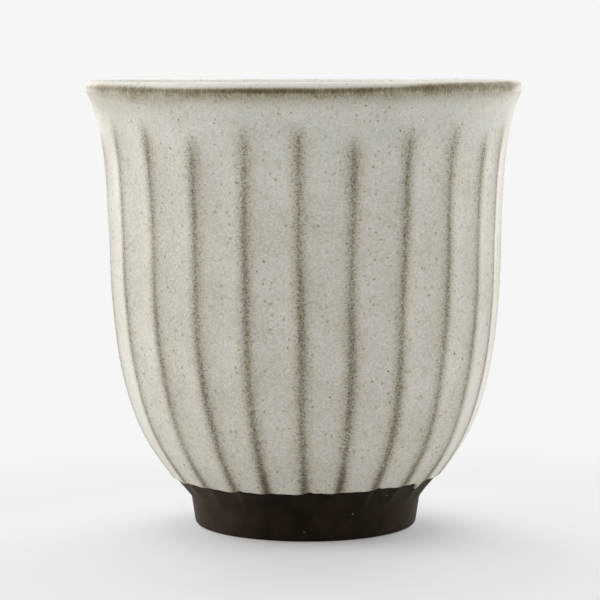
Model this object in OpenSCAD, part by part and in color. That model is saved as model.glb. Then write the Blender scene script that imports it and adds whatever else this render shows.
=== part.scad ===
// Fluted stoneware tea cup (yunomi): a clay body on a foot ring, glazed outside and inside.
// Millimetres, +Z up. The origin is on the table, at the centre of the foot ring.

/* [Cup] */
// Height from the table to the top of the glazed lip
cup_h = 85.5; // [78:0.5:95]
// Outside diameter of the glazed lip
lip_d = 83.3; // [80:0.1:92]
// Outside diameter over the glaze where the wall stands upright
wall_d = 75.6; // [70:0.2:80]
// Height of the place where the wall stands upright
wall_z = 53; // [46:1:60]

/* [Clay] */
// Thickness of the clay wall where it stands upright
wall_t = 3.2; // [2.4:0.1:4.5]
// Thickness of the clay at the lip
lip_t = 2.2; // [1.6:0.1:3]
// Thickness of the clay floor
floor_t = 4.6; // [3:0.1:7]

/* [Foot ring] */
// Height of the foot ring
foot_h = 5.6; // [4:0.1:7]
// Outside diameter of the foot ring at its neck, under the belly
neck_d = 44.2; // [40:0.2:48]
// Width of the foot ring at its neck
neck_w = 6; // [4:0.1:9]
// Outside diameter of the foot ring just above the table
foot_d = 42.8; // [38:0.2:46]
// Width of the foot ring just above the table
foot_w = 4.8; // [4.2:0.1:8]
// Rounding of the foot ring's two lower edges
foot_round = 1; // [0.6:0.1:2]

/* [Flutes] */
// Number of flutes cut round the wall
flute_n = 24; // [18:1:30]
// Radius of a flute's hollow, across the flute
flute_r = 50; // [40:1:80]
// Width of the land left between two flutes
land_w = 1; // [0.8:0.1:1.6]
// Distance from the top of the lip down to the tops of the flutes
flute_top_gap = 5; // [4:0.5:12]
// Length over which a flute runs out at its top
flute_top_run = 9; // [4:0.5:14]
// Distance from the neck up to the lower ends of the flutes
flute_foot_gap = 0.6; // [0.4:0.1:1.5]
// Length over which a flute runs out at its lower end
flute_foot_run = 2.4; // [1.5:0.1:4]

/* [Glaze] */
// Thickness of the glaze
glaze_t = 0.4; // [0.2:0.05:0.7]
// Height of the lower edge of the outer glaze
glaze_z = 9.8; // [8:0.1:14]

/* [Hidden] */
$fn = 96;

clay_colour = [0.17, 0.14, 0.11];
glaze_colour = [0.76, 0.74, 0.69];

// Radii of the bare clay
lip_r = lip_d / 2 - glaze_t;
wall_r = wall_d / 2 - glaze_t;
neck_r = neck_d / 2;
foot_r = foot_d / 2;

floor_z = foot_h + floor_t;

// Handles of the wall's curves, as shares of the height that each curve spans
belly_neck_share = 0.2;
belly_wall_share = 0.68;
flare_wall_share = 0.82;
flare_lip_share = 0.1;
inner_floor_share = 0.8;
inner_wall_share = 0.8;
// Lean of the wall at the neck, where it stands upright and at the lip, as shares of its rise
neck_lean_share = 0.85;
wall_lean_share = 0.022;
lip_lean_share = 0.4;

// The lip is a half round over the end of the wall, turned outwards with the wall's lean there
lip_middle = [lip_r - lip_t / 2, cup_h - glaze_t - lip_t / 2];
lip_turn = atan(lip_lean_share);

// Straight pieces that make up each curve, and how many more for a smooth measure of it
belly_steps = 9;
flare_steps = 5;
round_steps = 6;
quarter_steps = 3;
lean_steps = 1;
run_steps = 2;
fine_steps = 6;

// Each ridge is cut by hand a little off its even place, in shares of the pitch
ridge_shift_shares = [-0.04, 0.01, 0.02, 0.03, 0.06, 0, 0.01, 0.06, -0.01, -0.18, -0.08, 0.03,
    -0.05, 0.06, 0.02, -0.04, 0, 0.05, -0.03, 0.02, 0.07, -0.02, -0.06, -0.04];
flute_pitch = 360 / flute_n;
// Turn of the first ridge about the axis, from the front towards +X
first_ridge_turn = -62;
// The front is -Y, this far round from +X, where a cutter is made
front_turn = -90;
// The cutter's axis stands outside the cup, at this distance from the cup's axis
cutter_x = wall_r + flute_r;
// Room that the cutter keeps from the clay past the ends of a flute
cutter_clear = 0.25;
flute_top_z = cup_h - flute_top_gap;
flute_foot_z = foot_h + flute_foot_gap;

function bezier(a, b, c, d, t) =
    pow(1 - t, 3) * a + 3 * t * pow(1 - t, 2) * b + 3 * t * t * (1 - t) * c + pow(t, 3) * d;

function curve(a, b, c, d, steps) = [for (i = [0:steps]) bezier(a, b, c, d, i / steps)];

function middles(list) = [for (i = [1:len(list) - 1]) (list[i - 1] + list[i]) / 2];

function arc(centre, radius, from, to, steps) =
    [for (i = [0:steps]) let (a = from + (to - from) * i / steps) centre + radius * [cos(a), sin(a)]];

function drop_first(list) = [for (i = [1:len(list) - 1]) list[i]];

// Half round over the lip, from its outer edge to its inner edge, grown by the glaze on it
function lip_round(grow) =
    let (r = lip_t / 2 + grow)
    concat(
        arc(lip_middle, r, -lip_turn, 0, lean_steps),
        drop_first(arc(lip_middle, r, 0, 90, quarter_steps)),
        drop_first(arc(lip_middle, r, 90, 180 - lip_turn, quarter_steps)));

// Outside of the wall from the neck up to the lip's outer edge, grown by the glaze on it
function wall_outside(grow, more = 1) =
    let (lip = lip_round(grow)[0], belly = wall_z - foot_h, flare = lip.y - wall_z,
        neck = [neck_r + grow, foot_h], wall = [wall_r + grow, wall_z])
    concat(
        curve(neck, neck + belly_neck_share * belly * [neck_lean_share, 1],
            wall - belly_wall_share * belly * [wall_lean_share, 1], wall, more * belly_steps),
        drop_first(curve(wall, wall + flare_wall_share * flare * [wall_lean_share, 1],
            lip - flare_lip_share * flare * [lip_lean_share, 1], lip, more * flare_steps)));

// Inside of the wall from the lip's inner edge down to the middle of the floor
function wall_inside(grow) =
    let (over = lip_round(grow), lip = over[len(over) - 1], depth = wall_z - floor_z,
        flare = lip.y - wall_z, wall = [wall_r - wall_t - grow, wall_z], middle = [0, floor_z + grow])
    concat(
        curve(lip, lip - flare_lip_share * flare * [lip_lean_share, 1],
            wall + flare_wall_share * flare * [wall_lean_share, 1], wall, flare_steps),
        drop_first(curve(wall, wall - inner_wall_share * depth * [0, 1],
            middle + inner_floor_share * [wall.x, 0], middle, belly_steps)));

// Radius of the bare clay's outside at a height
clay_side = [for (p = wall_outside(0, fine_steps)) [p.y, p.x]];
function clay_r(z) = lookup(z, clay_side);

function ridge_turn(i) =
    first_ridge_turn + flute_pitch * (i + ridge_shift_shares[i % len(ridge_shift_shares)]);

// The last flute ends at the first ridge, one turn on
function next_ridge_turn(i) = i < flute_n - 1 ? ridge_turn(i + 1) : ridge_turn(0) + 360;

// Cutter radius at which a flute that spans an angle just leaves its lands at a height
function cutter_r(z, span) =
    let (r = clay_r(z), half = span / 2 - asin(land_w / 2 / r))
    norm([cutter_x - r * cos(half), r * sin(half)]);

// The cutter draws back from that radius by this much as it runs out of the clay
function draw_back(z, span, share) =
    share * share * (cutter_r(z, span) - cutter_x + clay_r(z) + cutter_clear);

// Side of a flute's cutter: heights with a share that the cutter has drawn back, then its radii
function flute_side(span) =
    let (low = flute_foot_z + flute_foot_run, high = flute_top_z - flute_top_run,
        foot = [for (i = [run_steps:-1:0]) [low - flute_foot_run * i / run_steps, i / run_steps]],
        middle = [for (p = middles(wall_outside(0))) if (p.y > low && p.y < high) [p.y, 0]],
        top = [for (i = [0:run_steps]) [high + flute_top_run * i / run_steps, i / run_steps]])
    [for (p = concat(foot, middle, top)) [cutter_r(p[0], span) - draw_back(p[0], span, p[1]), p[0]]];

// One flute's cutter, held back by the glaze's thickness and kept to its own wedge of the cup,
// which starts well inside the wall, ends outside the lip and leaves a gap of a quarter land
module flute_cutter(span, grow) {
    side = flute_side(span);
    within = span - asin(land_w / 4 / lip_r);
    intersection() {
        translate([cutter_x, 0, 0])
            rotate_extrude()
                polygon(concat([[0, flute_foot_z]], [for (p = side) [p.x - grow, p.y]], [[0, flute_top_z]]));
        rotate([0, 0, -within / 2])
            rotate_extrude(angle = within)
                translate([neck_r / 2, 0])
                    square([lip_r, cup_h]);
    }
}

module flute_cutters(grow) {
    for (i = [0:flute_n - 1]) {
        span = next_ridge_turn(i) - ridge_turn(i);
        rotate([0, 0, front_turn + ridge_turn(i) + span / 2])
            flute_cutter(span, grow);
    }
}

// Thrown and fluted wall and floor, with a round lip
module clay_body() {
    color(clay_colour)
        difference() {
            rotate_extrude()
                polygon(concat([[0, foot_h]], wall_outside(0), drop_first(lip_round(0)),
                    drop_first(wall_inside(0))));
            flute_cutters(0);
        }
}

// Bare clay ring under the floor, joined to it with slip
module foot_ring() {
    outer = [foot_r - foot_round, foot_round];
    inner = [foot_r - foot_w + foot_round, foot_round];
    color(clay_colour)
        rotate_extrude()
            polygon(concat(arc(inner, foot_round, 180, 270, round_steps),
                arc(outer, foot_round, 270, 360, round_steps),
                [[neck_r, foot_h], [neck_r - neck_w, foot_h]]));
}

// Coat dipped on the outside, from its lower edge up to the lip's outer edge
module outer_glaze() {
    side = wall_outside(glaze_t);
    low_r = lookup(glaze_z, [for (p = side) [p.y, p.x]]);
    core = wall_outside(0);
    core_lip = core[len(core) - 1];
    color(glaze_colour)
        difference() {
            rotate_extrude()
                polygon(concat([[0, glaze_z], [low_r, glaze_z]], [for (p = side) if (p.y > glaze_z) p],
                    [core_lip, [0, core_lip.y]]));
            flute_cutters(glaze_t);
            difference() {
                rotate_extrude()
                    polygon(concat([[0, foot_h]], core, [[lip_r, cup_h], [0, cup_h]]));
                flute_cutters(0);
            }
        }
}

// Coat poured over the inside, from the floor up and over the lip
module inner_glaze() {
    surface = concat(lip_round(glaze_t), drop_first(wall_inside(glaze_t)));
    clay = concat(lip_round(0), drop_first(wall_inside(0)));
    last = len(clay) - 1;
    color(glaze_colour)
        rotate_extrude()
            polygon(concat(surface, [for (i = [last:-1:0]) clay[i]]));
}

clay_body();
foot_ring();
outer_glaze();
inner_glaze();
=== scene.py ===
"""Fluted stoneware tea cup: its clay, foot ring and glaze coats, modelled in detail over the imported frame.

Shapes are worked out in millimetres and scaled to metres when the meshes are made. A turn is an angle about
the cup's axis, in radians, measured from the front (-Y) towards +X. A side is the sine of a turn: -1 at the
left of the photograph and 1 at its right. A named pair of sides, heights, lengths or levels runs from where
something starts to where it is complete.
"""

import math

import bpy
import numpy as np
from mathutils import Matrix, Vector


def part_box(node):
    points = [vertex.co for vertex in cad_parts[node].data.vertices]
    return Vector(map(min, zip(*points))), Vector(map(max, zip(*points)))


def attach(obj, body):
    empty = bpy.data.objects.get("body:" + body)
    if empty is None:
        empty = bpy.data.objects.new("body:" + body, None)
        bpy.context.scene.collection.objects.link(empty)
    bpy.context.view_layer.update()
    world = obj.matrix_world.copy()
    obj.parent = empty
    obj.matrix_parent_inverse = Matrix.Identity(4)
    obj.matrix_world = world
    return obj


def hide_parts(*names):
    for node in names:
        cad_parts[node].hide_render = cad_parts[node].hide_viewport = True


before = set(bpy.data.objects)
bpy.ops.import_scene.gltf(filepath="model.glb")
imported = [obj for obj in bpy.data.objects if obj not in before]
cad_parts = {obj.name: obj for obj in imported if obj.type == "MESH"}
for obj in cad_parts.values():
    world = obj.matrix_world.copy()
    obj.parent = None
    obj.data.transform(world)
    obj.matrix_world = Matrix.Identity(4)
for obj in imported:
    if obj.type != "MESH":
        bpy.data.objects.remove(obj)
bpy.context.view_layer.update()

MM = 0.001
FULL_TURN = 2 * np.pi

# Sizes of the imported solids
CLAY_HIGH = np.array(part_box("clay_body")[1]) / MM
FOOT_HIGH = np.array(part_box("foot_ring")[1]) / MM
OUTER_LOW = np.array(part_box("outer_glaze")[0]) / MM
INNER_LOW, INNER_HIGH = (np.array(corner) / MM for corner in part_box("inner_glaze"))

CUP_H = INNER_HIGH[2]
LIP_R = CLAY_HIGH[0]
CLAY_TOP = CLAY_HIGH[2]
GLAZE_T = CUP_H - CLAY_TOP
GLAZE_Z = OUTER_LOW[2]
FLOOR_Z = INNER_LOW[2]
FOOT_H = FOOT_HIGH[2]
NECK_R = FOOT_HIGH[0]

# The other sizes of the clay, as in the part's source
WALL_R = 37.4
WALL_Z = 53.0
WALL_T = 3.2
LIP_T = 2.2
NECK_W = 6.0
FOOT_R = 21.4
FOOT_W = 4.8
FOOT_ROUND = 1.0
FLUTE_R = 50.0

# Handles of the wall's curves, as shares of the height or width that each curve spans
BELLY_NECK_SHARE = 0.2
BELLY_WALL_SHARE = 0.68
FLARE_WALL_SHARE = 0.82
FLARE_LIP_SHARE = 0.1
INNER_FLOOR_SHARE = 0.8
INNER_WALL_SHARE = 0.8
NECK_LEAN_SHARE = 0.85
WALL_LEAN_SHARE = 0.022
LIP_LEAN_SHARE = 0.4

# Places of the ridges: the first one's turn in degrees, and each one's shift in shares of the pitch
FIRST_RIDGE_TURN = -62.0
RIDGE_SHIFT_SHARES = [-0.04, 0.01, 0.02, 0.03, 0.06, 0, 0.01, 0.06, -0.01, -0.18, -0.08, 0.03,
                      -0.05, 0.06, 0.02, -0.04, 0, 0.05, -0.03, 0.02, 0.07, -0.02, -0.06, -0.04]
FLUTE_N = len(RIDGE_SHIFT_SHARES)
FLUTE_PITCH = 360.0 / FLUTE_N

# Mesh columns round the axis, on fluted and on plain surfaces
FLUTE_COLUMNS = 30 * FLUTE_N
PLAIN_COLUMNS = 12 * FLUTE_N


# Small mathematics

def smoothstep(low, high, value):
    share = np.clip((value - low) / (high - low), 0, 1)
    return share * share * (3 - 2 * share)


def between(rise, fall, value):
    """1 between two pairs of values, coming in over the first pair and going out over the second."""
    return smoothstep(*rise, value) * smoothstep(*fall, value)


def bump_shape(value, width):
    return np.exp(-(value / width) ** 2)


def uneven(number, step, start):
    """A fixed value from -1 to 1 that differs from one number to the next."""
    return np.sin(number * step + start)


def varied(number, vary, step, start):
    """A fixed strength of at most 1 that varies by this much either way."""
    return 1 - vary + vary * uneven(number, step, start)


def bezier(a, b, c, d, count):
    t = np.linspace(0, 1, count)[:, None]
    return (1 - t) ** 3 * a + 3 * t * (1 - t) ** 2 * b + 3 * t * t * (1 - t) * c + t ** 3 * d


def arc(centre, radius, start, end, count):
    angle = np.radians(np.linspace(start, end, count))
    return np.array(centre) + radius * np.stack([np.cos(angle), np.sin(angle)], 1)


def point(r, z):
    return np.array([r, z], float)


WAVE_LEAST = 0.5


def waves(turn, seed, counts, size):
    """A smooth wander round the axis: a sine wave of each count, with a fixed random phase and height."""
    draw = np.random.default_rng(seed)
    total = sum(np.sin(n * turn + draw.uniform(0, FULL_TURN)) * draw.uniform(WAVE_LEAST, 1) for n in counts)
    return size * total / math.sqrt(len(counts))


# Profile of the clay

CURVE_POINTS = 300
PROFILE_STEP = 0.05
PROFILE_SOFT = 0.3
PROFILE_SOFT_REACH = 3


class Profile:
    """Radii and heights of a turned surface by the length along it, with normals to the right of its run."""

    def __init__(self, stretches):
        corners = [stretches[0][:1]] + [stretch[1:] for stretch in stretches]
        rough = np.vstack(corners)
        along = np.concatenate([[0], np.cumsum(np.linalg.norm(np.diff(rough, axis=0), axis=1))])
        counts = np.cumsum([len(stretch) - 1 for stretch in stretches])
        self.joins = along[counts]
        self.along = np.arange(0, along[-1], PROFILE_STEP)
        even = np.stack([np.interp(self.along, along, rough[:, k]) for k in (0, 1)], 1)
        self.points = self.softened(even)
        run = np.gradient(self.points, axis=0)
        run /= np.linalg.norm(run, axis=1)[:, None]
        self.normals = np.stack([run[:, 1], -run[:, 0]], 1)

    @staticmethod
    def softened(points):
        """Corners rounded off by a running mean; both ends run straight on, so they stay where they are."""
        reach = int(PROFILE_SOFT_REACH * PROFILE_SOFT / PROFILE_STEP)
        weights = bump_shape(np.arange(-reach, reach + 1) * PROFILE_STEP, math.sqrt(2) * PROFILE_SOFT)
        steps = np.arange(1, reach + 1)[:, None]
        before = points[0] - steps[::-1] * (points[1] - points[0])
        after = points[-1] + steps * (points[-1] - points[-2])
        padded = np.vstack([before, points, after])
        return np.stack([np.convolve(padded[:, k], weights / weights.sum(), "valid") for k in (0, 1)], 1)

    def at(self, along):
        """Radius, height and both parts of the normal at a length."""
        return [np.interp(along, self.along, table[:, k]) for table in (self.points, self.normals)
                for k in (0, 1)]

    def along_at_height(self, z, end):
        """Length at which the surface rises through a height, before a given length."""
        rising = self.along < end
        return np.interp(z, self.points[rising, 1], self.along[rising])


def clay_profile():
    """Foot ring's side, wall, lip and inside, from just above the table to the middle of the floor."""
    lip_turn = math.degrees(math.atan(LIP_LEAN_SHARE))
    lip_middle = point(LIP_R - LIP_T / 2, CLAY_TOP - LIP_T / 2)
    lip = arc(lip_middle, LIP_T / 2, -lip_turn, 180 - lip_turn, CURVE_POINTS)
    lip_out, lip_in = lip[0], lip[-1]
    neck, wall, middle = point(NECK_R, FOOT_H), point(WALL_R, WALL_Z), point(0, FLOOR_Z)
    wall_in = wall - point(WALL_T, 0)
    belly, depth = WALL_Z - FOOT_H, WALL_Z - FLOOR_Z
    flare, flare_in = lip_out[1] - WALL_Z, lip_in[1] - WALL_Z
    wall_lean, lip_lean = point(WALL_LEAN_SHARE, 1), point(LIP_LEAN_SHARE, 1)
    return Profile([
        np.linspace(point(FOOT_R, FOOT_ROUND), neck, CURVE_POINTS),
        bezier(neck, neck + BELLY_NECK_SHARE * belly * point(NECK_LEAN_SHARE, 1),
               wall - BELLY_WALL_SHARE * belly * wall_lean, wall, CURVE_POINTS),
        bezier(wall, wall + FLARE_WALL_SHARE * flare * wall_lean,
               lip_out - FLARE_LIP_SHARE * flare * lip_lean, lip_out, CURVE_POINTS),
        lip,
        bezier(lip_in, lip_in - FLARE_LIP_SHARE * flare_in * lip_lean,
               wall_in + FLARE_WALL_SHARE * flare_in * wall_lean, wall_in, CURVE_POINTS),
        bezier(wall_in, wall_in - INNER_WALL_SHARE * depth * point(0, 1),
               middle + INNER_FLOOR_SHARE * point(wall_in[0], 0), middle, CURVE_POINTS),
    ])


# Lengths along the profile at which the two coats meet, the lip ends inside, and the neck and the middle lie
PROFILE = clay_profile()
SEAM = PROFILE.joins[2]
LIP_INNER = PROFILE.joins[3]
MIDDLE = PROFILE.along[-1]
NECK = PROFILE.along_at_height(FOOT_H, SEAM)


# Flutes

RIDGE_TURNS = np.radians(FIRST_RIDGE_TURN + FLUTE_PITCH * (np.arange(FLUTE_N) + RIDGE_SHIFT_SHARES))
# How far each ridge drifts from its place, in degrees, at its foot and at its top
RIDGE_MIDDLE_Z = 45.0
FOOT_DRIFTS = np.radians([2.4, 1.8, 1.9, 0.7, 0.5, 0.5, 0.8, -0.2, -0.2, -0.4, 0.3, 0.8,
                          -0.5, 0.6, 1.1, 0.2, -0.6, 0.4, 0.9, -0.3, 0.5, 1.0, 0.6, 1.6])
TOP_DRIFTS = np.radians([0.1, 0, 1.0, 0.9, -0.8, 0.2, 1.3, 0, 0.3, -0.3, 0.4, -0.5,
                         0.6, 0.2, -0.4, 0.7, 0.1, -0.6, 0.3, 0.5, -0.2, 0.4, -0.5, 0.2])
RIDGE_WANDER = math.radians(0.2)
RIDGE_WANDER_RUN = 5.0
RIDGE_WANDER_COUNT = 5
RIDGE_SOFT = 0.5
FLUTE_TOP_GAP = 5.5
FLUTE_TOP_Z = CUP_H - FLUTE_TOP_GAP
FLUTE_TOP_RUN = 10.0
FLUTE_TOP_VARY = 1.4
FLUTE_TOP_UNEVEN = (2.4, 0.7)
FLUTE_FOOT_RUN = 2.4


def ridge_places(turn, z):
    """Number of the flute at a place, the angle on from its first ridge, and the angle that it spans."""
    low, high = smoothstep(RIDGE_MIDDLE_Z, FOOT_H, z), smoothstep(RIDGE_MIDDLE_Z, CUP_H, z)
    ridges = RIDGE_TURNS + np.outer(low, FOOT_DRIFTS) + np.outer(high, TOP_DRIFTS)
    ends = np.column_stack([ridges, ridges[:, 0] + FULL_TURN])
    wander = RIDGE_WANDER * np.sin(z / RIDGE_WANDER_RUN + RIDGE_WANDER_COUNT * turn)
    turned = (turn - wander - ends[:, 0]) % FULL_TURN + ends[:, 0]
    flute = (ends[:, :-1] <= turned[:, None]).sum(1) - 1
    here = np.arange(len(flute))
    return flute, turned - ends[here, flute], ends[here, flute + 1] - ends[here, flute]


def nearest_ridge(turn, z):
    """Number of the nearest ridge, and the angle from it."""
    flute, after, span = ridge_places(turn, z)
    first = after < span / 2
    return np.where(first, flute, (flute + 1) % FLUTE_N), np.where(first, after, after - span)


def flute_share(z, number):
    """How far a flute has reached its depth at a height: each one's top is a little different."""
    top = FLUTE_TOP_Z + FLUTE_TOP_VARY * uneven(number, *FLUTE_TOP_UNEVEN)
    return between((top, top - FLUTE_TOP_RUN), (FOOT_H, FOOT_H + FLUTE_FOOT_RUN), z)


def flute_depth(turn, r, z):
    """Depth that the flutes are cut to at a place: a hollow curve between soft ridges."""
    flute, after, span = ridge_places(turn, z)
    half = span / 2
    aside = r * (half - np.abs(after - half))
    aside = np.sqrt(aside ** 2 + RIDGE_SOFT ** 2) - RIDGE_SOFT
    across = np.clip(aside / (half * r), 0, 1)
    full = r * half ** 2 / 2 * (1 + r / FLUTE_R)
    return full * across * (2 - across) * flute_share(z, flute)


# Hand-made unevenness, the same for every piece

LEAN = 0.32
LIP_TILT = 0.05
LIP_WAVE = 0.03
LIP_WAVE_COUNT = 3
LIP_WAVE_START = 1.1
OVAL = 0.03
OVAL_START = 0.7
LEVEL_SHARE = 0.1


def hand_made(turn, r, z):
    """Puts a turned point where the potter left it, as x, y and z: the foot leans and the lip isn't level."""
    high = smoothstep(LEVEL_SHARE * CUP_H, CUP_H, z)
    r = r + OVAL * high * r / LIP_R * (np.cos(2 * turn + OVAL_START) - 1)
    x, y = r * np.sin(turn), -r * np.cos(turn)
    rise = LIP_TILT * (x / LIP_R - 1) + LIP_WAVE * (np.sin(LIP_WAVE_COUNT * turn + LIP_WAVE_START) - 1)
    return np.stack([x + LEAN * (1 - high), y, z + high ** 2 * rise], -1)


def clay_ring(turn, along, lift=0.0):
    """Points round the clay's surface at a length along its profile, lifted off it along its normal."""
    r, z, out, up = PROFILE.at(np.broadcast_to(along, turn.shape))
    cut = np.where(along < SEAM, flute_depth(turn, r, z), 0)
    return hand_made(turn, r - cut + lift * out, z + lift * up)


# Meshes

def ring_turns(columns):
    return np.linspace(0, FULL_TURN, columns, endpoint=False)


def marked(turn, lengths, **fields):
    """Values of each named mark for the rings at these lengths along the profile."""
    return {name: [field(turn, along) for along in lengths] for name, field in fields.items()}


def mark_sharp(mesh, ring_starts, columns):
    """Keeps the shading crisp along whole rings."""
    ends = np.empty(2 * len(mesh.edges), int)
    mesh.edges.foreach_get("vertices", ends)
    ends = ends.reshape(-1, 2)
    rings = [((ends >= start) & (ends < start + columns)).all(1) for start in ring_starts]
    layer = mesh.attributes.new("sharp_edge", "BOOLEAN", "EDGE")
    layer.data.foreach_set("value", np.any(rings, axis=0))


def make_piece(name, rings, poles, node, material, marks, sharp):
    """A closed smooth mesh from rings of points that follow its surface.

    With two poles, the first and the last ring are closed by a fan. Without them, the rings close on
    themselves. Marks are named values for each point of each ring, and the sharp rings are given by number.
    """
    columns = len(rings[0])
    points = np.vstack(rings + [np.array(pole)[None] for pole in poles])
    starts = np.arange(len(rings)) * columns
    here, there = np.arange(columns), np.roll(np.arange(columns), -1)
    firsts, seconds = (starts[:-1], starts[1:]) if poles else (starts, np.roll(starts, -1))
    quads = [np.stack([a + here, a + there, b + there, b + here], 1) for a, b in zip(firsts, seconds)]
    faces = np.concatenate(quads).tolist()
    if poles:
        first_tip, last_tip = np.full(columns, len(points) - 2), np.full(columns, len(points) - 1)
        faces += np.stack([there, here, first_tip], 1).tolist()
        faces += np.stack([starts[-1] + here, starts[-1] + there, last_tip], 1).tolist()
    mesh = bpy.data.meshes.new(name)
    mesh.from_pydata((points * MM).tolist(), [], faces)
    mesh.shade_smooth()
    for key, values in marks.items():
        layer = mesh.attributes.new(key, "FLOAT", "POINT")
        layer.data.foreach_set("value", np.append(np.concatenate(values), np.zeros(len(poles))))
    mark_sharp(mesh, starts[list(sharp)], columns)
    mesh.materials.append(material)
    piece = bpy.data.objects.new(name, mesh)
    bpy.context.scene.collection.objects.link(piece)
    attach(piece, "root")
    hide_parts(node)


# Shape of the glaze

# Clearance between the back of a coat and the clay
SKIN = 0.01

# The outer coat's lower edge: its tilt and waves, a notch and a sag beside each ridge, and one drip
LINE_RISE = 0.2
LINE_TILT = 0.47
LINE_WAVE = 0.14
LINE_WAVE_SEED = 5
LINE_WAVE_COUNTS = (2, 3, 5, 8, 13)
NOTCH_RISE = 0.28
NOTCH_PLACE = 0.75
NOTCH_WIDTH = 0.55
NOTCH_VARY = 0.35
NOTCH_UNEVEN = (3.1, 2.0)
SAG_DROP = 0.15
SAG_PLACE = -1.3
SAG_WIDTH = 1.3
DRIP_TURN = math.radians(54.6)
DRIP_LENGTH = 1.2
DRIP_WIDTH = 0.42


def glaze_line(turn):
    """Height of the outer glaze's lower edge: it wanders, and the clay peeks up just past each ridge."""
    number, offset = nearest_ridge(turn, np.full_like(turn, GLAZE_Z))
    aside = offset * NECK_R
    notch = NOTCH_RISE * bump_shape(aside - NOTCH_PLACE, NOTCH_WIDTH)
    notch = notch * varied(number, NOTCH_VARY, *NOTCH_UNEVEN)
    sag = SAG_DROP * bump_shape(aside - SAG_PLACE, SAG_WIDTH)
    drip = DRIP_LENGTH * bump_shape((turn - DRIP_TURN) * NECK_R, DRIP_WIDTH)
    wander = LINE_TILT * np.sin(turn) + waves(turn, LINE_WAVE_SEED, LINE_WAVE_COUNTS, LINE_WAVE)
    return GLAZE_Z + LINE_RISE + wander + notch - sag - drip


BEAD = 0.08
BEAD_PLACE = 0.8
BEAD_WIDTH = 0.7
EDGE_ROUND = 0.45
RIDGE_THIN = 0.12
RIDGE_THIN_WIDTH = 0.8
LIP_EVEN_LENGTH = 3.0
COAT_WAVE = 0.03
# Each wave of the coat: the rise over which it turns by a radian, and its count round the cup
COAT_WAVES = ((3.1, 9), (7.3, -14))


def outer_thickness(turn, along, above):
    """Glaze is thin on the ridges, with a bead above its lower edge, which is round."""
    r, z = PROFILE.at(along)[:2]
    crest = bump_shape(nearest_ridge(turn, z)[1] * r, RIDGE_THIN_WIDTH) * flute_share(z, 0)
    bead = BEAD * bump_shape(above - BEAD_PLACE, BEAD_WIDTH)
    wavy = COAT_WAVE * np.prod([np.sin(z / run + count * turn) for run, count in COAT_WAVES], axis=0)
    edge = np.clip(above / EDGE_ROUND, 0, 1)
    full = GLAZE_T + (bead - RIDGE_THIN * crest + wavy) * smoothstep(0, LIP_EVEN_LENGTH, SEAM - along)
    return SKIN + (full - SKIN) * np.sqrt(edge * (2 - edge))


FINGER_PITCH = 5.4
FINGER_RISE = 0.1
# Lengths from the lip's inner edge and from the middle of the floor
FINGER_TOP_LENGTHS = (3.0, 16.0)
FINGER_FLOOR_LENGTHS = (0.0, 14.0)


def inner_thickness(turn, along):
    """Inner glaze over the finger marks that throwing left, which climb in a spiral."""
    fingers = np.sin(FULL_TURN * along / FINGER_PITCH + turn)
    fade = smoothstep(*FINGER_TOP_LENGTHS, along - LIP_INNER)
    fade = fade * smoothstep(*FINGER_FLOOR_LENGTHS, MIDDLE - along)
    return GLAZE_T + FINGER_RISE * fingers * fade


# Marks on the glaze: how much it changes colour at a place, from 0 to about 1

BREAK_WIDTH = 1.0
BREAK_PEAK = 1.35
BREAK_TOP_GAP = 6.5
BREAK_TOP_VARY = 1.2
BREAK_TOP_UNEVEN = (2.1, 0.4)
BREAK_TOP_RUN = 6.0
BREAK_TOP_WIDER = 0.35
BREAK_TOP_WIDER_RUN = 16.0
BREAK_STRENGTH = 0.82
BREAK_VARY = 0.1
BREAK_VARY_RUN = 6.0
BREAK_VARY_STEP = 1.7
BREAK_LOW = 0.15
BREAK_LOW_HEIGHTS = (56.0, 42.0)
BREAK_LESS_AT_SIDES = 0.15
BREAK_LESS_SIDES = (0.3, 0.8)
BREAK_LESS_HEIGHTS = (60.0, 40.0)


def ridge_break(turn, along):
    """How much the glaze breaks to brown over the ridges: most on the crest, with long soft sides."""
    side = np.abs(np.sin(turn))
    r, z = PROFILE.at(along)[:2]
    number, offset = nearest_ridge(turn, z)
    top = CUP_H - BREAK_TOP_GAP + BREAK_TOP_VARY * uneven(number, *BREAK_TOP_UNEVEN)
    width = BREAK_WIDTH * (1 + BREAK_TOP_WIDER * smoothstep(top - BREAK_TOP_WIDER_RUN, top, z))
    strength = BREAK_STRENGTH + BREAK_VARY * np.sin(z / BREAK_VARY_RUN + number * BREAK_VARY_STEP)
    below_top, low = smoothstep(top, top - BREAK_TOP_RUN, z), smoothstep(*BREAK_LOW_HEIGHTS, z)
    strength = strength * ((1 - BREAK_LOW) * below_top + BREAK_LOW * low)
    less = smoothstep(*BREAK_LESS_SIDES, side) * smoothstep(*BREAK_LESS_HEIGHTS, z)
    strength = strength * (1 - BREAK_LESS_AT_SIDES * less)
    return strength * np.exp(-(np.abs(offset) * r / width) ** BREAK_PEAK)


FOOT_BREAK_HEIGHTS = (17.5, 11.5)
FOOT_BREAK_WIDTH = 0.75
FOOT_BREAK_VARY = 0.2
FOOT_BREAK_UNEVEN = (2.7, 0.0)
FOOT_BREAK_LESS_AT_SIDES = 0.45
FOOT_BREAK_LESS_SIDES = (0.35, 0.75)


def foot_break(turn, along):
    """How much a ridge darkens just above the glaze's lower edge."""
    r, z = PROFILE.at(along)[:2]
    number, offset = nearest_ridge(turn, z)
    strength = smoothstep(*FOOT_BREAK_HEIGHTS, z) * varied(number, FOOT_BREAK_VARY, *FOOT_BREAK_UNEVEN)
    less = FOOT_BREAK_LESS_AT_SIDES * smoothstep(*FOOT_BREAK_LESS_SIDES, np.abs(np.sin(turn)))
    return strength * (1 - less) * bump_shape(offset * r, FOOT_BREAK_WIDTH)


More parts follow.
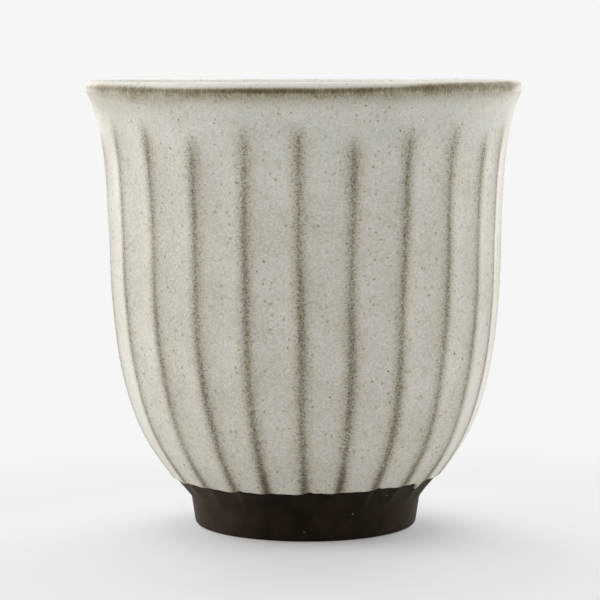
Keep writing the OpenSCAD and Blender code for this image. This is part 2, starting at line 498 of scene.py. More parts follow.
# Painted rim light: the glaze painted paler low at both sides, more so at the right
RIM_LIGHT_RIGHT = 0.75
RIM_LIGHT_LEFT = 0.45
RIM_LIGHT_SIDES = (0.8, 0.95)
RIM_LIGHT_HEIGHTS = (45.0, 25.0)


def pool(turn, along):
    """Painted rim light: the glaze is painted paler low at both sides, more so at the right."""
    side = np.sin(turn)
    strength = RIM_LIGHT_RIGHT * smoothstep(*RIM_LIGHT_SIDES, side) + RIM_LIGHT_LEFT * smoothstep(*RIM_LIGHT_SIDES, -side)
    return strength * smoothstep(*RIM_LIGHT_HEIGHTS, PROFILE.at(along)[1])


# How far the break at the lip lies above the seam, and how much higher at both sides
LIP_BREAK_UP = 0.38
LIP_BREAK_RIGHT = 0.82
LIP_BREAK_RIGHT_SIDES = (0.05, 1.1)
LIP_BREAK_LEFT = 0.2
LIP_BREAK_LEFT_SIDES = (-0.5, -0.92)


def lip_below(turn, along):
    """Length down from the line of the break at the lip: it climbs to the right, and less to the left."""
    side = np.sin(turn)
    climb = LIP_BREAK_RIGHT * smoothstep(*LIP_BREAK_RIGHT_SIDES, side)
    climb = climb + LIP_BREAK_LEFT * smoothstep(*LIP_BREAK_LEFT_SIDES, side)
    return SEAM + LIP_BREAK_UP + climb - along


LIP_FADE_UP = 0.42
LIP_FADE_UP_RIGHT = 0.45
LIP_FADE_UP_RIGHT_SIDES = (0.35, 0.7)
LIP_FADE_UP_LEFT = 0.3
LIP_FADE_UP_LEFT_SIDES = (-0.6, -0.9)


def lip_fade_up(side):
    """Length over which the break fades above that line: longer at both sides."""
    right = LIP_FADE_UP_RIGHT * smoothstep(*LIP_FADE_UP_RIGHT_SIDES, side)
    return LIP_FADE_UP + right + LIP_FADE_UP_LEFT * smoothstep(*LIP_FADE_UP_LEFT_SIDES, side)


LIP_LINE_WIDTH = 0.32
LIP_LINE_WIDER_RIGHT = 0.35
LIP_LINE_WIDER_SIDES = (0.3, 0.9)
# Changes of the line's strength: by how much, and over which sides, or about which side and how wide
LIP_LINE_FADES = ((-0.5, (-0.3, -0.8)), (-0.45, (0.25, 0.8)))
LIP_LINE_SPOTS = ((-0.45, -0.48, 0.11), (0.75, -0.16, 0.12), (-0.45, 0.09, 0.07), (-0.25, 0.38, 0.15))
# The line is stronger again near both ends of the lip
LIP_LINE_END_MORE = 0.4
LIP_LINE_END_SIDES_IN = (0.82, 0.9)
LIP_LINE_END_SIDES_OUT = (0.97, 0.89)


def lip_line(turn, along):
    """The thin dark line of the break at the lip, of uneven strength."""
    side, below = np.sin(turn), lip_below(turn, along)
    width_down = LIP_LINE_WIDTH + LIP_LINE_WIDER_RIGHT * smoothstep(*LIP_LINE_WIDER_SIDES, side)
    near_ends = between(LIP_LINE_END_SIDES_IN, LIP_LINE_END_SIDES_OUT, np.abs(side))
    strength = 1 + LIP_LINE_END_MORE * near_ends
    for change, sides in LIP_LINE_FADES:
        strength = strength + change * smoothstep(*sides, side)
    for change, place, width in LIP_LINE_SPOTS:
        strength = strength + change * bump_shape(side - place, width)
    return strength * bump_shape(below, np.where(below < 0, lip_fade_up(side), width_down))


HAZE_LENGTH = 2.1
HAZE_LESS_LEFT = 0.14
HAZE_LESS_LEFT_SIDES = (-0.5, -0.9)
HAZE_LESS_RIGHT = 0.12
HAZE_LESS_RIGHT_SIDES = (0.4, 0.7)
HAZE_LESS_ENDS = 0.3
HAZE_LESS_END_SIDES = (0.88, 1.0)
HAZE_MORE_RIGHT = 0.35
HAZE_MORE_SIDES_IN = (0.84, 0.92)
HAZE_MORE_SIDES_OUT = (0.955, 0.925)
HAZE_LONGER_LEFT = 0.28
HAZE_LONGER_SIDES_IN = (-0.45, -0.65)
HAZE_LONGER_SIDES_OUT = (-0.93, -0.84)
HAZE_SHORTER_RIGHT = 0.4
HAZE_SHORTER_SIDES = (0.84, 0.94)
# A painted shade over the crown of the lip at both sides, and a long painted shade down the wall at the left
CROWN_PAINTED_SHADE = 0.4
CROWN_SIDES = (0.55, 0.95)
CROWN_LENGTH = 3.0
SHADE = 0.5
SHADE_SIDES = (-0.6, -0.85)
SHADE_LENGTH = 5.0


def lip_haze(turn, along):
    """The soft brown haze that runs down from that line, with painted shade over the crown at both sides and
    down the wall at the left.
    """
    side, below = np.sin(turn), lip_below(turn, along)
    ends = np.abs(side)
    strength = 1 + HAZE_MORE_RIGHT * between(HAZE_MORE_SIDES_IN, HAZE_MORE_SIDES_OUT, side)
    strength = strength - HAZE_LESS_LEFT * smoothstep(*HAZE_LESS_LEFT_SIDES, side)
    strength = strength - HAZE_LESS_RIGHT * smoothstep(*HAZE_LESS_RIGHT_SIDES, side)
    strength = strength - HAZE_LESS_ENDS * smoothstep(*HAZE_LESS_END_SIDES, ends)
    longer = 1 + HAZE_LONGER_LEFT * between(HAZE_LONGER_SIDES_IN, HAZE_LONGER_SIDES_OUT, side)
    longer = longer - HAZE_SHORTER_RIGHT * smoothstep(*HAZE_SHORTER_SIDES, side)
    haze = strength * bump_shape(below, np.where(below < 0, lip_fade_up(side), longer * HAZE_LENGTH))
    # Painted shade over the crown at both sides, and down the wall at the left
    on_crown = smoothstep(LIP_INNER + CROWN_LENGTH, LIP_INNER, along)
    crown = CROWN_PAINTED_SHADE * smoothstep(*CROWN_SIDES, ends) * on_crown
    shade = SHADE * smoothstep(*SHADE_SIDES, side) * bump_shape(below, SHADE_LENGTH)
    return np.maximum(haze, np.where(below < 0, crown, shade))


# Glaze pieces

# Rings of the outer coat from its lower edge up: how many, up to which share, and how crowded low down
LINE_RINGS = 24
LINE_RINGS_SHARE = 0.045
LINE_RINGS_CROWDING = 1.7
WALL_RINGS = 120
WALL_RINGS_SHARE = 0.94
LIP_RINGS = 40
# The back of a coat takes one of so many of the front's rings
OUTER_BACK_STEP = 4

INNER_LIP_RINGS = 40
INNER_WALL_RINGS = 190
INNER_BACK_STEP = 3
# Gap between the last ring inside and the middle of the floor
MIDDLE_GAP = 0.5


def make_outer_glaze(material):
    """The coat on the outside, with a front from its lower edge to the seam and a back on the clay."""
    turn = ring_turns(FLUTE_COLUMNS)
    line = PROFILE.along_at_height(glaze_line(turn), SEAM)
    near_line = LINE_RINGS_SHARE * np.linspace(0, 1, LINE_RINGS, endpoint=False) ** LINE_RINGS_CROWDING
    wall = np.linspace(LINE_RINGS_SHARE, WALL_RINGS_SHARE, WALL_RINGS, endpoint=False)
    near_lip = np.linspace(WALL_RINGS_SHARE, 1, LIP_RINGS)
    shares = np.concatenate([near_line, wall, near_lip])
    front = [line + share * (SEAM - line) for share in shares]
    back = front[::-OUTER_BACK_STEP]
    rings = [clay_ring(turn, along, outer_thickness(turn, along, along - line)) for along in front]
    rings += [clay_ring(turn, along, SKIN) for along in back]
    marks = marked(turn, front + back, ridge_break=ridge_break, foot_break=foot_break, pool=pool,
                   lip_line=lip_line, lip_haze=lip_haze)
    marks["above_line"] = [along - line for along in front + back]
    make_piece("outer_glaze_coat", rings, (), "outer_glaze", material, marks,
               sharp=(0, len(front) - 1))


def make_inner_glaze(material):
    """The coat over the lip and the inside, with a back on the clay and a front."""
    turn = ring_turns(PLAIN_COLUMNS)
    lip = np.linspace(SEAM, LIP_INNER, INNER_LIP_RINGS, endpoint=False)
    wall = np.linspace(LIP_INNER, MIDDLE - MIDDLE_GAP, INNER_WALL_RINGS)
    front = [np.full_like(turn, along) for along in np.concatenate([lip, wall])]
    back = front[::-INNER_BACK_STEP]
    rings = [clay_ring(turn, along, SKIN) for along in back]
    rings += [clay_ring(turn, along, inner_thickness(turn, along)) for along in front]
    middle = hand_made(np.zeros(2), np.zeros(2), FLOOR_Z + np.array([SKIN, GLAZE_T]))
    marks = marked(turn, back + front, lip_line=lip_line, lip_haze=lip_haze)
    make_piece("inner_glaze_coat", rings, tuple(middle), "inner_glaze", material, marks,
               sharp=(len(back) - 1, len(back)))


# Bare clay

# Painted highlights where the ridges run on into the bare clay
RIDGE_HIGHLIGHT_WIDTH = 0.42
RIDGE_HIGHLIGHT_SIDES = (0.2, 1.0)
RIDGE_HIGHLIGHT_HEIGHTS = (FOOT_H + 0.2, GLAZE_Z - 0.5)
RIDGE_HIGHLIGHT_VARY = 0.3
RIDGE_HIGHLIGHT_UNEVEN = (4.3, 0.0)


def ridge_streak(turn, along):
    """Painted highlights where the ridges run on into the bare clay, at the sides only, dying away at the
    neck.
    """
    r, z = PROFILE.at(along)[:2]
    number, offset = nearest_ridge(turn, z)
    fade = smoothstep(*RIDGE_HIGHLIGHT_HEIGHTS, z) * smoothstep(*RIDGE_HIGHLIGHT_SIDES, np.abs(np.sin(turn)))
    streak = bump_shape(offset * r, RIDGE_HIGHLIGHT_WIDTH) * varied(number, RIDGE_HIGHLIGHT_VARY, *RIDGE_HIGHLIGHT_UNEVEN)
    return np.where(along < SEAM, fade * streak, 0)


# Painted light on the bare clay: how much lighter it is at the left and at the right
SIDE_LIGHT_LEFT = 0.64
SIDE_LIGHT_LEFT_SIDES = (-0.2, -0.92)
SIDE_LIGHT_RIGHT = 0.3
SIDE_LIGHT_RIGHT_SIDES = (0.35, 0.9)


def painted_side_light(turn):
    """Painted light on the bare clay: lighter at the left, and less at the right, where the lights fall from
    the sides.
    """
    side = np.sin(turn)
    left, right = smoothstep(*SIDE_LIGHT_LEFT_SIDES, side), smoothstep(*SIDE_LIGHT_RIGHT_SIDES, side)
    return SIDE_LIGHT_LEFT * left + SIDE_LIGHT_RIGHT * right


# Rings of the clay: under the floor, bare up to under the glaze, under the outer coat and inside
BOTTOM_RINGS = 12
BOTTOM_FIRST_SHARE = 0.05
BARE_RINGS = 44
BARE_PAST_LINE = 2.5
COVERED_RINGS = 60
INSIDE_RINGS = 90


def make_clay_body(material):
    """The wall and the floor, from under the floor up the outside, over the lip and down the inside."""
    turn = ring_turns(FLUTE_COLUMNS)
    bare_end = PROFILE.along_at_height(GLAZE_Z + BARE_PAST_LINE, SEAM)
    neck_r = PROFILE.at(NECK)[0]
    bottom = neck_r * np.linspace(BOTTOM_FIRST_SHARE, 1, BOTTOM_RINGS, endpoint=False)
    bare = np.linspace(NECK, bare_end, BARE_RINGS, endpoint=False)
    covered = np.linspace(bare_end, SEAM, COVERED_RINGS, endpoint=False)
    inside = np.linspace(SEAM, MIDDLE - MIDDLE_GAP, INSIDE_RINGS)
    lengths = [np.full_like(turn, along) for along in np.concatenate([bare, covered, inside])]
    rings = [hand_made(turn, np.full_like(turn, r), np.full_like(turn, FOOT_H)) for r in bottom]
    rings += [clay_ring(turn, along) for along in lengths]
    marks = marked(turn, lengths, ridge_streak=ridge_streak)
    marks["ridge_streak"] = [np.zeros_like(turn)] * len(bottom) + marks["ridge_streak"]
    marks["painted_side_light"] = [painted_side_light(turn)] * len(rings)
    poles = tuple(hand_made(np.zeros(2), np.zeros(2), np.array([FOOT_H, FLOOR_Z])))
    make_piece("clay_wall", rings, poles, "clay_body", material, marks, sharp=(len(bottom),))


# Rings of the foot ring: its recess, its two rounded edges, its flat, its side and its top
RECESS_RINGS = 30
INNER_ROUND_RINGS = 16
FLAT_RINGS = 6
OUTER_ROUND_RINGS = 20
SIDE_RINGS = 60
TOP_RINGS = 8
# Marks of the turning tool: their height, coarse and fine waves in radians a millimetre, and their wander
TURNING_RISE = 0.006
TURNING_COARSE = 6.1
TURNING_FINE = 14.3
TURNING_WANDER = 0.4
TURNING_HEIGHTS_IN = (FOOT_ROUND / 2, FOOT_ROUND)
TURNING_HEIGHTS_OUT = (FOOT_H, FOOT_H - 1)


def make_foot_ring(material):
    """The turned ring under the cup, with the fine marks that the turning tool left on its side."""
    turn = ring_turns(PLAIN_COLUMNS)
    side = np.stack(PROFILE.at(np.linspace(0, NECK, SIDE_RINGS))[:2], 1)
    outer, inner = point(FOOT_R - FOOT_ROUND, FOOT_ROUND), point(FOOT_R - FOOT_W + FOOT_ROUND, FOOT_ROUND)
    across, down = point(FOOT_ROUND, 0), point(0, FOOT_ROUND)
    top_inner = point(NECK_R - NECK_W, FOOT_H)
    top = np.linspace(side[-1], top_inner, TOP_RINGS)[1:-1]
    outline = np.vstack([
        np.linspace(top_inner, inner - across, RECESS_RINGS, endpoint=False),
        arc(inner, FOOT_ROUND, 180, 270, INNER_ROUND_RINGS)[:-1],
        np.linspace(inner - down, outer - down, FLAT_RINGS)[:-1],
        arc(outer, FOOT_ROUND, 270, 360, OUTER_ROUND_RINGS)[:-1],
        side,
        top,
    ])
    rings = []
    for r, z in outline:
        coarse = np.sin(TURNING_COARSE * z + TURNING_WANDER * np.sin(turn))
        turned = TURNING_RISE * (coarse + np.sin(TURNING_FINE * z))
        turned = turned * between(TURNING_HEIGHTS_IN, TURNING_HEIGHTS_OUT, z)
        rings.append(hand_made(turn, r + turned, np.full_like(turn, z)))
    marks = {"ridge_streak": [np.zeros_like(turn)] * len(rings), "painted_side_light": [painted_side_light(turn)] * len(rings)}
    side_end = len(outline) - len(top) - 1
    make_piece("turned_foot_ring", rings, (), "foot_ring", material, marks, sharp=(0, side_end))


# Materials

def colour(red, green, blue):
    """A colour as it is seen on a screen, from 0 to 255, in the shader's own scale by the sRGB curve."""
    return tuple(((c / 255 + 0.055) / 1.055) ** 2.4 for c in (red, green, blue)) + (1.0,)


SPOT_CORE_SHARE = 0.6
# Numbers of the Mix node's sockets for colours
MIX_FIRST = 6
MIX_SECOND = 7
MIX_RESULT = 2


class Shader:
    """A material's nodes, with a short call for each kind that is used here."""

    def __init__(self, name):
        self.material = bpy.data.materials.new(name)
        self.material.use_nodes = True
        self.tree = self.material.node_tree
        self.surface = self.tree.nodes["Principled BSDF"]

    def node(self, kind, settings=None, **inputs):
        made = self.tree.nodes.new("ShaderNode" + kind)
        for key, value in (settings or {}).items():
            setattr(made, key, value)
        for key, value in inputs.items():
            self.put(made.inputs[key.replace("_", " ")], value)
        return made

    def put(self, socket, value):
        """Links another node's output to a socket, or sets a constant on it."""
        if isinstance(value, bpy.types.NodeSocket):
            self.tree.links.new(value, socket)
        else:
            socket.default_value = value

    def set(self, **inputs):
        for key, value in inputs.items():
            self.put(self.surface.inputs[key.replace("_", " ")], value)

    def place(self, scale=(1, 1, 1)):
        """The place on the object in millimetres, stretched by a scale along each axis."""
        coords = self.node("TexCoord").outputs["Object"]
        stretched = self.node("VectorMath", {"operation": "MULTIPLY"})
        self.put(stretched.inputs[0], coords)
        self.put(stretched.inputs[1], tuple(s / MM for s in scale))
        return stretched.outputs[0]

    def noise(self, place, size, detail=2.0, roughness=0.5):
        """Noise whose features are about a size across."""
        made = self.node("TexNoise", Vector=place, Scale=1 / size, Detail=detail, Roughness=roughness)
        return made.outputs["Fac"]

    def mark(self, name):
        return self.node("Attribute", {"attribute_name": name}).outputs["Fac"]

    def span(self, value, low, high, to_low=0.0, to_high=1.0):
        """A value that runs from one level to another, moved to a new pair of levels and kept within them."""
        made = self.node("MapRange", {"clamp": True}, Value=value)
        for key, level in (("From Min", low), ("From Max", high), ("To Min", to_low), ("To Max", to_high)):
            made.inputs[key].default_value = level
        return made.outputs["Result"]

    def math(self, operation, first, second):
        made = self.node("Math", {"operation": operation})
        self.put(made.inputs[0], first)
        self.put(made.inputs[1], second)
        return made.outputs[0]

    def mix(self, share, first, second):
        made = self.node("Mix", {"data_type": "RGBA"})
        self.put(made.inputs["Factor"], share)
        self.put(made.inputs[MIX_FIRST], first)
        self.put(made.inputs[MIX_SECOND], second)
        return made.outputs[MIX_RESULT]

    def spots(self, place, cell, radius, keep, faintest=1.0):
        """Spots of a radius, one in each cell of a size, of which a share is kept, some of them faint."""
        made = self.node("TexVoronoi", Vector=place, Scale=1 / cell)
        spot = self.span(made.outputs["Distance"], radius / cell, SPOT_CORE_SHARE * radius / cell)
        lots = self.node("SeparateColor", Color=made.outputs["Color"]).outputs
        kept = self.math("MULTIPLY", spot, self.math("LESS_THAN", lots["Red"], keep))
        return self.math("MULTIPLY", kept, self.span(lots["Green"], 0.0, 1.0, faintest, 1.0))

    def height(self):
        return self.node("SeparateXYZ", Vector=self.place()).outputs["Z"]

    def bump(self, height, strength, distance):
        made = self.node("Bump", Height=height, Strength=strength, Distance=distance * MM)
        return made.outputs["Normal"]


# Levels that most of a noise lies between
NOISE_LEVELS = (0.3, 0.7)

# Colours of the unbroken glaze, and of what lies in it
PANEL_PALE = colour(214, 210, 198)
PANEL_DULL = colour(203, 199, 186)
# The inner coat is the same glaze, painted paler: painted light on the lip and the inside
INNER_LIT_PALE = colour(250, 246, 236)
INNER_LIT_DULL = colour(245, 241, 230)
GRAIN_PALE = colour(232, 230, 222)
BLOTCH = colour(174, 167, 146)
SPOT_OLIVE = colour(162, 154, 133)
SPOT_WARM = colour(158, 130, 84)
SPOT_BROWN = colour(114, 80, 42)
SPOT_DARK = colour(72, 54, 34)

# Noise in the glaze, with the size of its features, the levels over which it shows and its greatest share
CLOUDS = {"size": 9.0, "detail": 3.0}
CLOUD_LEVELS = (0.35, 0.65)
BLOTCHES = {"size": 1.6, "detail": 1.0}
BLOTCH_LEVELS = (0.55, 0.78)
BLOTCH_SHARE = 0.4
GRAIN = {"size": 0.42, "detail": 3.0, "roughness": 0.7}
GRAIN_PALE_LEVELS = (0.5, 0.72)
GRAIN_PALE_SHARE = 0.75
GRAIN_DULL_LEVELS = (0.5, 0.3)
GRAIN_DULL_SHARE = 0.5
OLIVE_SPOTS = {"cell": 1.25, "radius": 0.36, "keep": 0.55, "faintest": 0.1}
WARM_SPOTS = {"cell": 1.5, "radius": 0.28, "keep": 0.26, "faintest": 0.2}
BROWN_SPOTS = {"cell": 2.3, "radius": 0.3, "keep": 0.022, "faintest": 0.4}
DARK_SPOTS = {"cell": 1.9, "radius": 0.22, "keep": 0.02}
OUTER_STRENGTH = 1.0
INNER_STRENGTH = 0.5


def glaze_tone(s, place, pale, dull, strength):
    """Unbroken glaze: broad clouds, small blotches, faint spots and a fine grain, of a strength."""
    grain = s.noise(place, **GRAIN)
    blotches = s.span(s.noise(place, **BLOTCHES), *BLOTCH_LEVELS, 0.0, BLOTCH_SHARE * strength)
    tone = s.mix(s.span(s.noise(place, **CLOUDS), *CLOUD_LEVELS), pale, dull)
    tone = s.mix(blotches, tone, BLOTCH)
    tone = s.mix(s.math("MULTIPLY", s.spots(place, **OLIVE_SPOTS), strength), tone, SPOT_OLIVE)
    tone = s.mix(s.span(grain, *GRAIN_PALE_LEVELS, 0.0, GRAIN_PALE_SHARE * strength), tone, GRAIN_PALE)
    return s.mix(s.span(grain, *GRAIN_DULL_LEVELS, 0.0, GRAIN_DULL_SHARE * strength), tone, BLOTCH)


# Colours of the broken glaze
BREAK_SIDE = colour(158, 153, 134)
BREAK_CORE = colour(124, 119, 96)
BREAK_GRAIN = colour(102, 74, 34)
FOOT_CORE = colour(78, 65, 40)
LIP_SIDE = colour(155, 148, 124)
LIP_CORE = colour(93, 83, 56)

# The glaze high on the wall is a little paler
HIGH_HEIGHTS = (60.0, 76.0)
HIGH_PALE_SHARE = 0.14

# The ridges' break: feathered all over, with a fringe of loose grains, and a thin line along the lower edge
FEATHER_SCALE = (0.75, 0.75, 1.0)
FEATHER = {"size": 0.34, "roughness": 0.65}
FEATHER_LEVELS = (0.28, 0.72)
FEATHER_STRENGTHS = (1.45, 0.4)
FOOT_FEATHER_STRENGTHS = (1.2, 0.6)
FRINGE_BREAKS = (0.005, 0.2)
FRINGE_SHARE = 0.55
FRINGE_LEVELS = (0.53, 0.34)
EDGE_BREAK = 0.5
EDGE_BREAK_HEIGHTS = (0.2, 0.0)
BREAK_SIDE_LEVELS = (0.0, 0.6)
BREAK_CORE_LEVELS = (0.45, 1.0)


def outer_tone(s, place):
    """Glaze of the fluted wall: paler high up, painted rim light low at the sides, broken on the ridges; and
    how broken it is.
    """
    tone = glaze_tone(s, place, PANEL_PALE, PANEL_DULL, OUTER_STRENGTH)
    tone = s.mix(s.span(s.height(), *HIGH_HEIGHTS, 0.0, HIGH_PALE_SHARE), tone, GRAIN_PALE)
    # Painted rim light, low at both sides
    tone = s.mix(s.mark("pool"), tone, GRAIN_PALE)
    tone = s.mix(s.spots(place, **WARM_SPOTS), tone, SPOT_WARM)
    feather = s.noise(s.place(FEATHER_SCALE), **FEATHER)
    ridge = s.mark("ridge_break")
    feathered = s.math("MULTIPLY", ridge, s.span(feather, *FEATHER_LEVELS, *FEATHER_STRENGTHS))
    near_ridge = s.span(ridge, *FRINGE_BREAKS, 0.0, FRINGE_SHARE)
    fringe = s.math("MULTIPLY", near_ridge, s.span(feather, *FRINGE_LEVELS))
    edge = s.span(s.mark("above_line"), *EDGE_BREAK_HEIGHTS, 0.0, EDGE_BREAK)
    broken = s.math("MAXIMUM", s.math("MAXIMUM", feathered, fringe), edge)
    tone = s.mix(s.span(broken, *BREAK_SIDE_LEVELS), tone, BREAK_SIDE)
    tone = s.mix(s.span(broken, *BREAK_CORE_LEVELS), tone, BREAK_CORE)
    foot = s.math("MULTIPLY", s.mark("foot_break"), s.span(feather, *NOISE_LEVELS, *FOOT_FEATHER_STRENGTHS))
    return s.mix(foot, tone, FOOT_CORE), broken


# The lip's break: a mottled line, and a haze with fine streaks that run down, which also carries painted
# shade
MOTTLE = {"size": 4.0, "detail": 3.0, "roughness": 0.6}
MOTTLE_STRENGTHS = (0.75, 1.15)
DOWN_STREAK_SCALE = (1, 1, 0.16)
DOWN_STREAKS = {"size": 0.32, "roughness": 0.6}
DOWN_STREAK_STRENGTHS = (0.7, 1.25)
LIP_LINE_SHARE = 0.3
LIP_HAZE_AND_SHADE_SHARE = 0.65
LIP_CORE_LEVELS = (0.5, 1.0)


def lip_broken(s, place):
    """How much the glaze is broken at the lip."""
    mottle = s.span(s.noise(place, **MOTTLE), *NOISE_LEVELS, *MOTTLE_STRENGTHS)
    streaks = s.noise(s.place(DOWN_STREAK_SCALE), **DOWN_STREAKS)
    streaks = s.span(streaks, *NOISE_LEVELS, *DOWN_STREAK_STRENGTHS)
    line = s.math("MULTIPLY", s.mark("lip_line"), LIP_LINE_SHARE)
    # The haze mark also holds the painted shade over the crown and at the left
    haze = s.math("MULTIPLY", s.math("MULTIPLY", s.mark("lip_haze"), LIP_HAZE_AND_SHADE_SHARE), streaks)
    return s.math("MULTIPLY", s.math("ADD", line, haze), mottle)


# Brown flecks where the glaze is broken, fewer of them at the lip
FLECKS = {"size": 0.36, "detail": 1.0}
FLECK_LEVELS = (0.53, 0.64)
FLECK_SHARE = 0.85
FLECK_BREAKS = (0.15, 0.7)
LIP_FLECK_SHARE = 0.75

# Satin surface of the glaze
RIPPLE = {"size": 0.7}
RIPPLE_STRENGTH = 0.3
RIPPLE_HEIGHT = 0.05
GLAZE_IOR = 1.5
OUTER_ROUGHNESS = (0.5, 0.62)
OUTER_SPECULAR = 0.5
INNER_ROUGHNESS = (0.55, 0.65)
INNER_SPECULAR = 0.3


def glaze_material(name, ridges):
    """Satin speckled glaze that breaks to olive brown where it is thin."""
    s = Shader(name)
    place = s.place()
    lip = lip_broken(s, place)
    broken = s.math("MULTIPLY", lip, LIP_FLECK_SHARE)
    if ridges:
        tone, ridge = outer_tone(s, place)
        broken = s.math("MAXIMUM", broken, ridge)
    else:
        # Inside, paler copies of the glaze's colours, which are painted light
        tone = glaze_tone(s, place, INNER_LIT_PALE, INNER_LIT_DULL, INNER_STRENGTH)
    tone = s.mix(s.span(lip, *BREAK_SIDE_LEVELS), tone, LIP_SIDE)
    tone = s.mix(s.span(lip, *LIP_CORE_LEVELS), tone, LIP_CORE)
    flecks = s.span(s.noise(place, **FLECKS), *FLECK_LEVELS, 0.0, FLECK_SHARE)
    tone = s.mix(s.math("MULTIPLY", s.span(broken, *FLECK_BREAKS), flecks), tone, BREAK_GRAIN)
    tone = s.mix(s.spots(place, **BROWN_SPOTS), tone, SPOT_BROWN)
    tone = s.mix(s.spots(place, **DARK_SPOTS), tone, SPOT_DARK)
    roughness = OUTER_ROUGHNESS if ridges else INNER_ROUGHNESS
    s.set(Base_Color=tone, Roughness=s.span(s.noise(place, **GRAIN), *NOISE_LEVELS, *roughness))
    s.set(Normal=s.bump(s.noise(place, **RIPPLE), RIPPLE_STRENGTH, RIPPLE_HEIGHT))
    s.set(IOR=GLAZE_IOR, Specular_IOR_Level=OUTER_SPECULAR if ridges else INNER_SPECULAR)
    return s.material


CLAY_DARK = colour(24, 16, 8)
CLAY_LIGHT = colour(41, 32, 21)
# Colour of the painted light at the sides of the bare clay
CLAY_PAINTED_LIGHT = colour(66, 55, 42)
# Colour of the painted highlights on the ridges in the bare clay
CLAY_RIDGE_HIGHLIGHT = colour(120, 110, 96)
CLAY_SPOT = colour(120, 108, 90)

CLAY_CLOUDS = {"size": 4.0, "detail": 3.0}
CLAY_CLOUD_LEVELS = (0.35, 0.7)
CLAY_GRAIN = {"size": 0.25, "roughness": 0.6}
CLAY_GRAIN_SHARE = 0.35
TURNED_SCALE = (0.15, 0.15, 2.2)
TURNED = {"size": 1.0}
TURNED_SHARE = 0.3
LIGHTER_LEVELS = (0.5, 0.8)
SIDE_LIGHT_CLOUDS = {"size": 3.0}
SIDE_LIGHT_STRENGTHS = (0.7, 1.3)
RIDGE_HIGHLIGHT_STRENGTHS = (0.3, 0.7)
CLAY_SPOTS = {"cell": 2.2, "radius": 0.2, "keep": 0.16}
CLAY_ROUGHNESS = (0.5, 0.66)
CLAY_BUMP_STRENGTH = 0.35
CLAY_BUMP_HEIGHT = 0.04
CLAY_SPECULAR = 0.06


def clay_material(name):
    """Bare dark stoneware, turned smooth, with a few pale grains, painted light at its sides and painted
    highlights on its ridges.
    """
    s = Shader(name)
    place = s.place()
    grain = s.noise(place, **CLAY_GRAIN)
    turned = s.noise(s.place(TURNED_SCALE), **TURNED)
    tone = s.mix(s.span(s.noise(place, **CLAY_CLOUDS), *CLAY_CLOUD_LEVELS), CLAY_DARK, CLAY_LIGHT)
    tone = s.mix(s.span(grain, *LIGHTER_LEVELS, 0.0, CLAY_GRAIN_SHARE), tone, CLAY_LIGHT)
    tone = s.mix(s.span(turned, *LIGHTER_LEVELS, 0.0, TURNED_SHARE), tone, CLAY_LIGHT)
    # Painted light at the sides of the bare clay, in soft clouds
    side_light_clouds = s.span(s.noise(place, **SIDE_LIGHT_CLOUDS), *NOISE_LEVELS, *SIDE_LIGHT_STRENGTHS)
    tone = s.mix(s.math("MULTIPLY", s.mark("painted_side_light"), side_light_clouds), tone, CLAY_PAINTED_LIGHT)
    # Painted highlights on the ridges in the bare clay
    streak = s.math("MULTIPLY", s.mark("ridge_streak"), s.span(grain, *NOISE_LEVELS, *RIDGE_HIGHLIGHT_STRENGTHS))
    tone = s.mix(streak, tone, CLAY_RIDGE_HIGHLIGHT)
    tone = s.mix(s.spots(place, **CLAY_SPOTS), tone, CLAY_SPOT)
    s.set(Base_Color=tone, Roughness=s.span(grain, *NOISE_LEVELS, *CLAY_ROUGHNESS))
    s.set(Normal=s.bump(grain, CLAY_BUMP_STRENGTH, CLAY_BUMP_HEIGHT))
    s.set(Specular_IOR_Level=CLAY_SPECULAR)
    return s.material


# Studio, in metres

BACKGROUND = colour(246, 246, 246)
AMBIENT = 0.03
FLOOR_COLOUR = (0.93, 0.93, 0.93, 1.0)
FLOOR_RADIUS = 3.0
FLOOR_SIDES = 128
# Away from this place the floor turns into a glow, which lifts the cup's shadow as painted light; the glow is
# dimmer near the cup, a painted shade, and turns into the background's colour
FADE_CENTRE = (0.012, -0.05, 0.0)
FADE_DISTANCES = (0.03, 0.1)
# The glow's dimmer colour near the cup, a painted shade
GLOW_NEAR_SHADED = colour(235, 235, 235)
GLOW_DISTANCES = (0.06, 0.16)

# Each soft light: the turn and the height that it comes from in degrees, its width, and its strength in watts
LIGHT_REACH = 0.9
LIGHTS = {
    "left": (-101, 20, 0.55, 2.85),
    "right": (103, 20, 0.55, 2.32),
    "back_left": (-146, 16, 0.55, 3.6),
    "back_right": (146, 16, 0.55, 3.5),
    "back": (180, 56, 0.8, 3.2),
    "front_left": (-54, 33, 0.8, 3.5),
    "front_right": (54, 33, 0.8, 2.45),
}


def seen_rays(tree):
    """1 for rays that show the background itself: from the camera, off a gloss or through glass."""
    path = tree.nodes.new("ShaderNodeLightPath")
    total = path.outputs["Is Camera Ray"]
    for kind in ("Is Glossy Ray", "Is Transmission Ray"):
        add = tree.nodes.new("ShaderNodeMath")
        add.use_clamp = True
        tree.links.new(total, add.inputs[0])
        tree.links.new(path.outputs[kind], add.inputs[1])
        total = add.outputs[0]
    return total


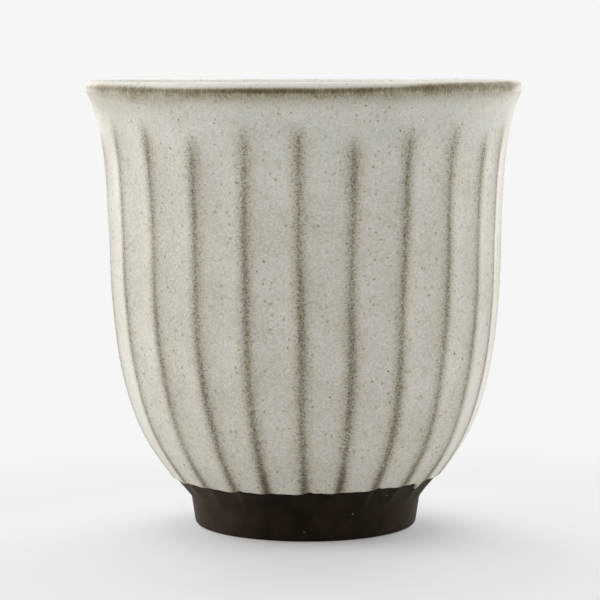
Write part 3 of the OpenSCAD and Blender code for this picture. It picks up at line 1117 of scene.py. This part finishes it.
def floor_material():
    """Pale and matt near the cup, where it keeps the shadow, and a glow away from it: painted light over that
    shadow's edge, dimmer near the cup as painted shade, plain further out.
    """
    s = Shader("pale_floor")
    s.set(Base_Color=FLOOR_COLOUR, Roughness=1.0, Specular_IOR_Level=0.0)
    distance = s.node("VectorMath", {"operation": "DISTANCE"})
    s.put(distance.inputs[0], s.node("TexCoord").outputs["Object"])
    s.put(distance.inputs[1], FADE_CENTRE)
    away = s.span(distance.outputs["Value"], *FADE_DISTANCES)
    far = s.span(distance.outputs["Value"], *GLOW_DISTANCES)
    glow = s.node("Emission", Color=s.mix(far, GLOW_NEAR_SHADED, BACKGROUND))
    blend = s.node("MixShader")
    s.put(blend.inputs[0], s.math("MULTIPLY", away, seen_rays(s.tree)))
    s.put(blend.inputs[1], s.surface.outputs[0])
    s.put(blend.inputs[2], glow.outputs[0])
    s.put(s.tree.nodes["Material Output"].inputs["Surface"], blend.outputs[0])
    return s.material


def make_floor():
    turn = ring_turns(FLOOR_SIDES)
    edge = FLOOR_RADIUS * np.stack([np.cos(turn), np.sin(turn), np.zeros_like(turn)], 1)
    mesh = bpy.data.meshes.new("floor")
    mesh.from_pydata(edge.tolist(), [], [list(range(FLOOR_SIDES))])
    mesh.materials.append(floor_material())
    floor = bpy.data.objects.new("floor", mesh)
    bpy.context.scene.collection.objects.link(floor)


def make_world():
    """A background of full strength where it is seen, and a faint light from it everywhere else."""
    world = bpy.data.worlds.new("studio")
    world.use_nodes = True
    tree = world.node_tree
    background = tree.nodes["Background"]
    background.inputs["Color"].default_value = BACKGROUND
    strength = tree.nodes.new("ShaderNodeMapRange")
    tree.links.new(seen_rays(tree), strength.inputs["Value"])
    strength.inputs["To Min"].default_value = AMBIENT
    strength.inputs["To Max"].default_value = 1.0
    tree.links.new(strength.outputs["Result"], background.inputs["Strength"])
    bpy.context.scene.world = world


def make_light(name, turn, height, width, power):
    """A square soft light that faces the cup."""
    lamp = bpy.data.lights.new(name, "AREA")
    lamp.shape = "SQUARE"
    lamp.size = width
    lamp.energy = power
    holder = bpy.data.objects.new(name, lamp)
    turn, height = math.radians(turn), math.radians(height)
    side = Vector((math.cos(height) * math.sin(turn), -math.cos(height) * math.cos(turn), math.sin(height)))
    holder.location = LIGHT_REACH * side + Vector((0, 0, CUP_H * MM / 2))
    holder.rotation_euler = side.to_track_quat("Z", "Y").to_euler()
    holder.visible_camera = False
    bpy.context.scene.collection.objects.link(holder)


# The photograph's camera: its place and the place near the cup's axis that it looks at, in millimetres
CAMERA_PLACE = Vector((0.0, -484.7, 89.86))
LOOK_AT = Vector((-0.75, 0.0, 43.2))
LENS = 151.64
SENSOR = 36.0


def make_camera():
    data = bpy.data.cameras.new("camera")
    data.lens = LENS
    data.sensor_width = SENSOR
    camera = bpy.data.objects.new("camera", data)
    camera.location = CAMERA_PLACE * MM
    camera.rotation_euler = (LOOK_AT * MM - camera.location).to_track_quat("-Z", "Y").to_euler()
    bpy.context.scene.collection.objects.link(camera)
    bpy.context.scene.camera = camera


clay = clay_material("dark_stoneware")
make_clay_body(clay)
make_foot_ring(clay)
make_outer_glaze(glaze_material("outer_satin_glaze", ridges=True))
make_inner_glaze(glaze_material("inner_satin_glaze", ridges=False))
make_floor()
make_world()
for light_name, light in LIGHTS.items():
    make_light(light_name, *light)
make_camera()
bpy.context.scene.view_settings.view_transform = "Standard"
